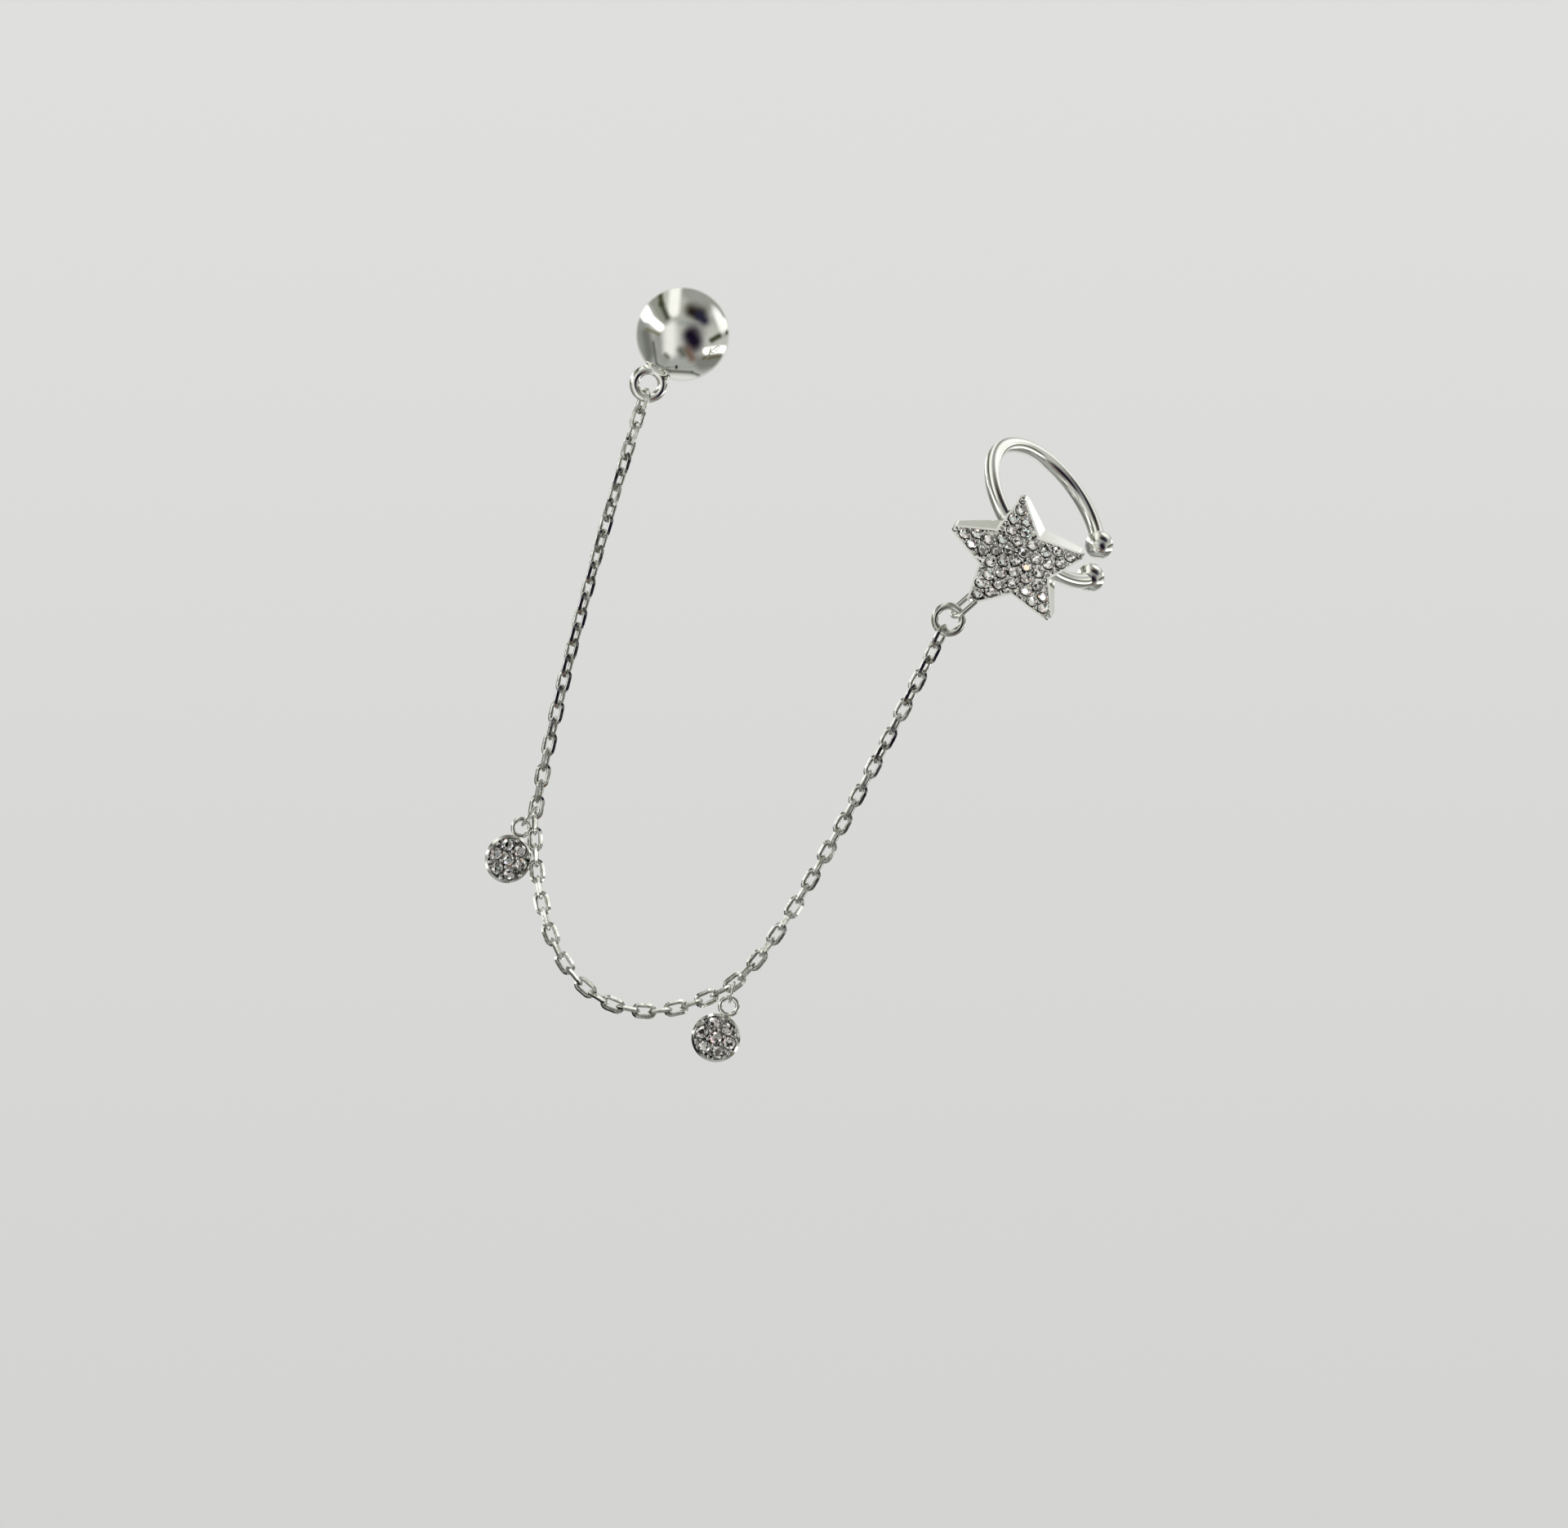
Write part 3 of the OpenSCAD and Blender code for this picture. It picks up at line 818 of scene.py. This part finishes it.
# What the ball mirrors, in its own picture: the middle is (0, 0) and the rim is 1 away.
# Columns: name, from, to, half width, softness, colour
STUDIO_CARDS = [
    ("upper right grey", (0.22, 1.00), (0.78, 0.52), 0.32, 0.12, (0.34, 0.345, 0.33)),
    ("left grey", (-0.98, 0.10), (-0.72, -0.62), 0.27, 0.10, (0.30, 0.31, 0.30)),
    ("left shade", (-0.78, 0.02), (-0.70, -0.50), 0.09, 0.08, (0.17, 0.175, 0.165)),
    ("lower grey", (-0.50, -0.62), (0.42, -0.66), 0.17, 0.10, (0.40, 0.41, 0.41)),
    ("lower left shade", (-0.52, -0.10), (-0.40, -0.56), 0.10, 0.10, (0.33, 0.335, 0.325)),
    ("lower right grey", (0.42, -0.62), (0.78, -0.56), 0.15, 0.09, (0.22, 0.22, 0.21)),
    ("middle", (-0.10, 0.30), (-0.16, 0.18), 0.14, 0.12, (0.46, 0.47, 0.44)),
    ("left of middle", (-0.26, 0.12), (-0.27, -0.38), 0.13, 0.10, (0.90, 0.90, 0.88)),
    ("tall light", (-0.15, 1.00), (-0.19, 0.46), 0.115, 0.065, (1.05, 1.05, 1.01)),
    ("left light frame", (-0.60, 0.72), (-0.38, 0.30), 0.12, 0.09, (0.30, 0.31, 0.28)),
    ("left bar", (-0.47, 0.90), (-0.44, 0.62), 0.055, 0.055, (0.060, 0.070, 0.030)),
    ("left bar foot", (-0.44, 0.62), (-0.32, 0.33), 0.045, 0.060, (0.050, 0.058, 0.036)),
    ("left light top", (-0.84, 0.62), (-0.73, 0.36), 0.115, 0.030, (1.60, 1.60, 1.60)),
    ("left light", (-0.72, 0.36), (-0.47, 0.13), 0.085, 0.035, (1.60, 1.60, 1.60)),
    ("left light foot", (-0.74, 0.10), (-0.50, -0.02), 0.030, 0.045, (0.20, 0.19, 0.12)),
    ("right rim glow", (0.90, 0.08), (0.88, 0.30), 0.08, 0.06, (1.20, 1.20, 1.18)),
    ("right shade", (0.50, 0.10), (0.62, 0.40), 0.10, 0.10, (0.50, 0.50, 0.48)),
    ("right light", (0.50, -0.37), (0.98, -0.28), 0.075, 0.030, (1.60, 1.60, 1.60)),
    ("right bar", (0.62, -0.14), (0.99, 0.10), 0.055, 0.050, (0.055, 0.065, 0.032)),
    ("right light foot", (0.46, -0.53), (0.82, -0.45), 0.030, 0.045, (0.12, 0.11, 0.06)),
    ("left edge", (-0.62, -0.18), (-0.56, -0.64), 0.022, 0.045, (0.11, 0.115, 0.10)),
    ("lower left edge", (-0.56, -0.64), (-0.28, -0.79), 0.020, 0.040, (0.12, 0.13, 0.11)),
    ("lower edge", (-0.28, -0.79), (0.20, -0.82), 0.024, 0.040, (0.09, 0.10, 0.08)),
    ("lower right edge", (0.20, -0.82), (0.36, -0.88), 0.020, 0.040, (0.09, 0.10, 0.08)),
    ("lower rim light", (-0.40, -1.02), (0.22, -1.07), 0.17, 0.045, (0.78, 0.79, 0.78)),
    ("upper shade", (0.16, 0.54), (0.40, 0.48), 0.11, 0.13, (0.20, 0.195, 0.17)),
    ("upper dark", (0.20, 0.45), (0.34, 0.39), 0.14, 0.13, (0.020, 0.013, 0.008)),
    ("upper dark foot", (0.36, 0.37), (0.46, 0.27), 0.11, 0.11, (0.022, 0.022, 0.045)),
    ("pale gap", (0.00, 0.23), (0.28, 0.18), 0.05, 0.08, (0.33, 0.36, 0.35)),
    ("middle shade", (0.24, 0.00), (0.22, -0.26), 0.19, 0.15, (0.11, 0.10, 0.11)),
    ("middle dark", (0.17, -0.05), (0.25, -0.17), 0.15, 0.12, (0.010, 0.006, 0.018)),
    ("warm patch", (0.10, -0.36), (0.20, -0.52), 0.08, 0.10, (0.17, 0.11, 0.085)),
    ("dark patch", (-0.04, -0.36), (0.01, -0.44), 0.07, 0.09, (0.12, 0.125, 0.11)),
    ("lower patch", (-0.36, -0.46), (-0.32, -0.50), 0.05, 0.06, (0.16, 0.17, 0.15)),
]
STUDIO_GREY = (0.55, 0.55, 0.53)

# From here out to the rim the ball mirrors the backdrop instead
RIM_START = 0.93


def card_mask(tree, place, card, at):
    """One where a card is seen and nothing elsewhere, with a soft edge."""
    start, end, half_width, softness = card
    start = Vector((*start, 0))
    run = Vector((*end, 0)) - start
    offset = node(tree, "ShaderNodeVectorMath", (at, 0), operation="SUBTRACT")
    offset.inputs[1].default_value = start
    wire(tree, place, offset.inputs[0])
    along = node(tree, "ShaderNodeVectorMath", (at, 1), operation="DOT_PRODUCT")
    along.inputs[1].default_value = run / run.length_squared
    wire(tree, offset.outputs["Vector"], along.inputs[0])
    held = node(tree, "ShaderNodeClamp", (at, 2))
    wire(tree, along.outputs["Value"], held.inputs["Value"])
    nearest = node(tree, "ShaderNodeVectorMath", (at, 3), operation="SCALE")
    nearest.inputs[0].default_value = run
    wire(tree, held.outputs["Result"], nearest.inputs["Scale"])
    gap = node(tree, "ShaderNodeVectorMath", (at, 4), operation="DISTANCE")
    wire(tree, offset.outputs["Vector"], gap.inputs[0])
    wire(tree, nearest.outputs["Vector"], gap.inputs[1])
    fade = half_width - softness, half_width + softness
    return soft_step(tree, gap.outputs["Value"], *fade, 1, 0, (at, 5))


def studio_world(stage):
    """Soft studio light from cards all round, and a plain pale backdrop behind the part."""
    world = bpy.data.worlds.new("studio")
    world.use_nodes = True
    tree = world.node_tree
    tree.nodes.clear()
    way = node(tree, "ShaderNodeTexCoord", (-9, 0)).outputs["Generated"]
    bent = node(tree, "ShaderNodeVectorMath", (-8, 0), operation="SUBTRACT")
    bent.inputs[1].default_value = SIGHT
    wire(tree, way, bent.inputs[0])
    facing = node(tree, "ShaderNodeVectorMath", (-7, 0), operation="NORMALIZE")
    wire(tree, bent.outputs["Vector"], facing.inputs[0])
    place = node(tree, "ShaderNodeCombineXYZ", (-5, 0))
    wire(tree, dot(tree, facing.outputs["Vector"], PICTURE_RIGHT, (-6, 0)), place.inputs["X"])
    wire(tree, dot(tree, facing.outputs["Vector"], PICTURE_UP, (-6, 1)), place.inputs["Y"])
    colour = STUDIO_GREY
    for k, (_, *card, card_colour) in enumerate(STUDIO_CARDS):
        mask = card_mask(tree, place.outputs["Vector"], card, k)
        colour = mixed(tree, mask, colour, card_colour, (k, 6))
    reach = node(tree, "ShaderNodeVectorMath", (-4, 7), operation="LENGTH")
    wire(tree, place.outputs["Vector"], reach.inputs[0])
    rim = soft_step(tree, reach.outputs["Value"], RIM_START, 1.0, 0, 1, (-3, 7))
    height = dot(tree, way, PICTURE_UP, (-4, 8))
    rise = soft_step(tree, height, -stage.backdrop_reach, stage.backdrop_reach, 0, 1, (-3, 8))
    backdrop = mixed(tree, rise, tuple(stage.backdrop_low), tuple(stage.backdrop_high), (-2, 8))
    last = len(STUDIO_CARDS)
    studio = mixed(tree, rim, colour, backdrop, (last, 6))
    light_path = node(tree, "ShaderNodeLightPath", (last, 9))
    seen = mixed(tree, light_path.outputs["Is Camera Ray"], studio, backdrop, (last + 1, 6))
    light = node(tree, "ShaderNodeBackground", (last + 2, 6))
    wire(tree, seen, light.inputs["Color"])
    output = node(tree, "ShaderNodeOutputWorld", (last + 3, 6))
    wire(tree, light.outputs["Background"], output.inputs["Surface"])
    bpy.context.scene.world = world


def pale_floor(stage):
    """A round pale floor well below the part, which shows when the part is seen from above."""
    middle = Vector((0, 0, -stage.floor_drop))
    floor = round_sheet("pale_floor", middle, Vector((0, 0, 1)), stage.floor_radius)
    material, tree = empty_material("pale_floor")
    glow = node(tree, "ShaderNodeEmission", (0, 0))
    glow.inputs["Color"].default_value = (*stage.backdrop_low, 1)
    output = node(tree, "ShaderNodeOutputMaterial", (1, 0))
    wire(tree, glow.outputs["Emission"], output.inputs["Surface"])
    floor.data.materials.append(material)
    floor.visible_glossy = False
    floor.visible_transmission = False


# Panels close to the part that only its metal sees. The last one is a dark flag.
# Columns: name, place, the way it faces, radius and light. A place is counted right of, above
# and behind the ball's middle, as the picture is turned, and so is a way.
# A panel is evenly bright inside PANEL_CORE of its radius and fades to its edge.
PANEL_CORE = 0.3
PANELS = [
    ("cuff_panel", (41 * MM, 16 * MM, 19 * MM), (-0.855, -0.334, -0.396), 24 * MM, 1.1),
    ("loop_panel", (1 * MM, -32.7 * MM, 0), (-0.65, -0.76, 0), 7 * MM, 1.7),
    ("left_panel", (-18 * MM, -38 * MM, 0), (0.90, -0.44, 0), 5.5 * MM, 1.7),
    ("dark_flag", (-9 * MM, -49.5 * MM, 0), (0.98, 0.20, 0), 9 * MM, 0.02),
]


def in_picture(place):
    """A run given as right, up and away from the camera, in the part's frame."""
    axes = PICTURE_RIGHT, PICTURE_UP, SIGHT
    return sum((axis * reach for axis, reach in zip(axes, place)), Vector())


def light_panel(name, place, way, radius, light, stage):
    """A soft round panel that shines to one side and is clear from behind."""
    middle = BALL_CENTRE + in_picture(place)
    panel = round_sheet(name, middle, in_picture(way).normalized(), radius)
    material, tree = empty_material(name)
    spot = node(tree, "ShaderNodeTexCoord", (-3, 0)).outputs["Object"]
    gap = node(tree, "ShaderNodeVectorMath", (-2, 0), operation="DISTANCE")
    gap.inputs[1].default_value = middle
    wire(tree, spot, gap.inputs[0])
    edge = soft_step(tree, gap.outputs["Value"], radius * PANEL_CORE, radius, 0, 1, (-1, 0))
    behind = node(tree, "ShaderNodeNewGeometry", (-2, 2)).outputs["Backfacing"]
    mask = calculated(tree, "MAXIMUM", (-1, 2), edge, behind)
    glow = node(tree, "ShaderNodeEmission", (0, 1))
    glow.inputs["Color"].default_value = (1, 1, 0.99, 1)
    glow.inputs["Strength"].default_value = light * stage.panel_light
    clear = node(tree, "ShaderNodeBsdfTransparent", (0, 2))
    blend = node(tree, "ShaderNodeMixShader", (1, 0))
    wire(tree, mask, blend.inputs[0])
    wire(tree, glow.outputs["Emission"], blend.inputs[1])
    wire(tree, clear.outputs["BSDF"], blend.inputs[2])
    output = node(tree, "ShaderNodeOutputMaterial", (2, 0))
    wire(tree, blend.outputs["Shader"], output.inputs["Surface"])
    panel.data.materials.append(material)
    panel.visible_camera = False
    panel.visible_diffuse = False
    panel.visible_transmission = False
    panel.visible_shadow = False


def rolled_camera(stage):
    """A long lens far off, level with the part and rolled as the picture is."""
    camera_data = bpy.data.cameras.new("camera")
    camera_data.lens = camera_data.sensor_width * stage.camera_far / stage.frame_width
    camera_data.clip_start = 0.01
    camera_data.clip_end = 20
    camera = bpy.data.objects.new("camera", camera_data)
    bpy.context.scene.collection.objects.link(camera)
    turn = Matrix((PICTURE_RIGHT, PICTURE_UP, -SIGHT)).transposed()
    place = Vector(stage.frame_middle) - SIGHT * stage.camera_far
    camera.matrix_world = Matrix.Translation(place) @ turn.to_4x4()
    bpy.context.scene.camera = camera


# Settings


class LookSettings(bpy.types.PropertyGroup):
    silver: bpy.props.FloatVectorProperty(
        name="Silver", description="Colour of the polished silver", subtype="COLOR",
        default=(0.93, 0.93, 0.90), min=0, max=1)
    shade: bpy.props.FloatVectorProperty(
        name="Shade", description="How the silver's faint clouds colour it", subtype="COLOR",
        default=(0.92, 0.925, 0.87), min=0, max=1)
    stone_index: bpy.props.FloatProperty(
        name="Stone index", description="Refractive index of the clear stones",
        default=2.15, min=1.3, max=2.6)
    stone_mirror: bpy.props.FloatProperty(
        name="Stone mirror", description="How much the stones' facets mirror, as a metal does",
        default=0.55, min=0, max=1)
    glimpse: bpy.props.FloatProperty(
        name="Glimpse", description="Size of the glimpses of a stone's lower facets", unit="LENGTH",
        default=0.00026)
    # The stones' painted fire and tones glow with this strength, as painted light
    painted_fire_glow: bpy.props.FloatProperty(
        name="Fire glow", description="How bright the stones' fire is", default=0.55, min=0, max=3)


class ChainSettings(bpy.types.PropertyGroup):
    cut: bpy.props.FloatProperty(
        name="Cut", description="Where the links' flats lie, as a share of the wire's radius",
        default=0.78, min=0.71, max=0.98)
    stoutness: bpy.props.FloatProperty(
        name="Stoutness", description="Thickness of the links' wire against the CAD solids' wire. "
        "The links' outer size stays", default=1.25, min=1, max=1.3)
    # A lower tone paints the chain darker all over, as painted shade
    tone: bpy.props.FloatProperty(
        name="Tone", description="How light the chain's silver is", default=0.87, min=0, max=1)
    swing: bpy.props.FloatProperty(
        name="Swing", description="How far a link may swing about its own length, out of the row",
        subtype="ANGLE", default=math.radians(6), min=0, max=math.radians(8))
    seed: bpy.props.IntProperty(
        name="Seed", description="Seed of the links' swing", default=3)


class StoneSettings(bpy.types.PropertyGroup):
    seed: bpy.props.IntProperty(
        name="Seed", description="Seed of the stones' turns and of their fire", default=7)


class StageSettings(bpy.types.PropertyGroup):
    camera_far: bpy.props.FloatProperty(
        name="Camera distance", description="From the camera to the chain's plane", unit="LENGTH",
        default=0.8)
    frame_width: bpy.props.FloatProperty(
        name="Frame width", description="Width of the picture in the chain's plane", unit="LENGTH",
        default=0.0993)
    frame_middle: bpy.props.FloatVectorProperty(
        name="Frame middle", description="The point in the middle of the picture", subtype="XYZ",
        default=(0.0171, -0.003, -0.02215))
    backdrop_high: bpy.props.FloatVectorProperty(
        name="Backdrop, high", description="The backdrop's colour at the picture's top",
        subtype="COLOR", default=(0.738, 0.738, 0.725))
    backdrop_low: bpy.props.FloatVectorProperty(
        name="Backdrop, low", description="The backdrop's colour at the picture's foot",
        subtype="COLOR", default=(0.655, 0.655, 0.643))
    backdrop_reach: bpy.props.FloatProperty(
        name="Backdrop reach", description="How steep a view still changes the backdrop's colour",
        default=0.075)
    panel_light: bpy.props.FloatProperty(
        name="Panel light", description="How bright the light panels are", default=1, min=0)
    floor_drop: bpy.props.FloatProperty(
        name="Floor drop", description="From the stud down to the floor", unit="LENGTH",
        default=0.12)
    floor_radius: bpy.props.FloatProperty(
        name="Floor radius", description="Radius of the floor", unit="LENGTH", default=0.3)


class EarChainSettings(bpy.types.PropertyGroup):
    look: bpy.props.PointerProperty(type=LookSettings)
    chain: bpy.props.PointerProperty(type=ChainSettings)
    stones: bpy.props.PointerProperty(type=StoneSettings)
    stage: bpy.props.PointerProperty(type=StageSettings)


# Operators


class EARCHAIN_OT_stage(bpy.types.Operator):
    """Sets up the camera, the studio light and the floor"""

    bl_idname = "ear_chain.stage"
    bl_label = "Stage"

    def execute(self, context):
        stage = context.scene.ear_chain.stage
        rolled_camera(stage)
        studio_world(stage)
        pale_floor(stage)
        for row in PANELS:
            light_panel(*row, stage)
        context.scene.view_settings.view_transform = "Standard"
        return {"FINISHED"}


class EARCHAIN_OT_metal(bpy.types.Operator):
    """Polishes the stud, the rings, the discs and the cuff"""

    bl_idname = "ear_chain.metal"
    bl_label = "Metal"

    def execute(self, context):
        dress_metal(context.scene.ear_chain)
        return {"FINISHED"}


class EARCHAIN_OT_chain(bpy.types.Operator):
    """Makes the diamond-cut chain, link by link"""

    bl_idname = "ear_chain.chain"
    bl_label = "Chain"

    def execute(self, context):
        make_chain(context.scene.ear_chain)
        return {"FINISHED"}


class EARCHAIN_OT_stones(bpy.types.Operator):
    """Sets a cut stone in each seat of the star and of the discs"""

    bl_idname = "ear_chain.stones"
    bl_label = "Stones"

    def execute(self, context):
        make_stones(context.scene.ear_chain)
        return {"FINISHED"}


class EARCHAIN_PT_panel(bpy.types.Panel):
    """Shows the earring's settings and the buttons of its operators"""

    bl_idname = "EARCHAIN_PT_panel"
    bl_label = "Ear chain earring"
    bl_space_type = "VIEW_3D"
    bl_region_type = "UI"
    bl_category = "Ear chain"

    def draw(self, context):
        settings = context.scene.ear_chain
        for group in (settings.look, settings.chain, settings.stones, settings.stage):
            box = self.layout.box()
            for name in group.__annotations__:
                box.prop(group, name)
        for operator in OPERATORS:
            self.layout.operator(operator.bl_idname)


OPERATORS = [EARCHAIN_OT_stage, EARCHAIN_OT_metal, EARCHAIN_OT_chain, EARCHAIN_OT_stones]
GROUPS = [LookSettings, ChainSettings, StoneSettings, StageSettings, EarChainSettings]


def register():
    for cls in GROUPS + OPERATORS + [EARCHAIN_PT_panel]:
        bpy.utils.register_class(cls)
    bpy.types.Scene.ear_chain = bpy.props.PointerProperty(type=EarChainSettings)


def unregister():
    del bpy.types.Scene.ear_chain
    for cls in reversed(GROUPS + OPERATORS + [EARCHAIN_PT_panel]):
        bpy.utils.unregister_class(cls)


def main():
    register()
    bpy.ops.ear_chain.stage()
    bpy.ops.ear_chain.metal()
    bpy.ops.ear_chain.chain()
    bpy.ops.ear_chain.stones()


if __name__ == "__main__":
    main()
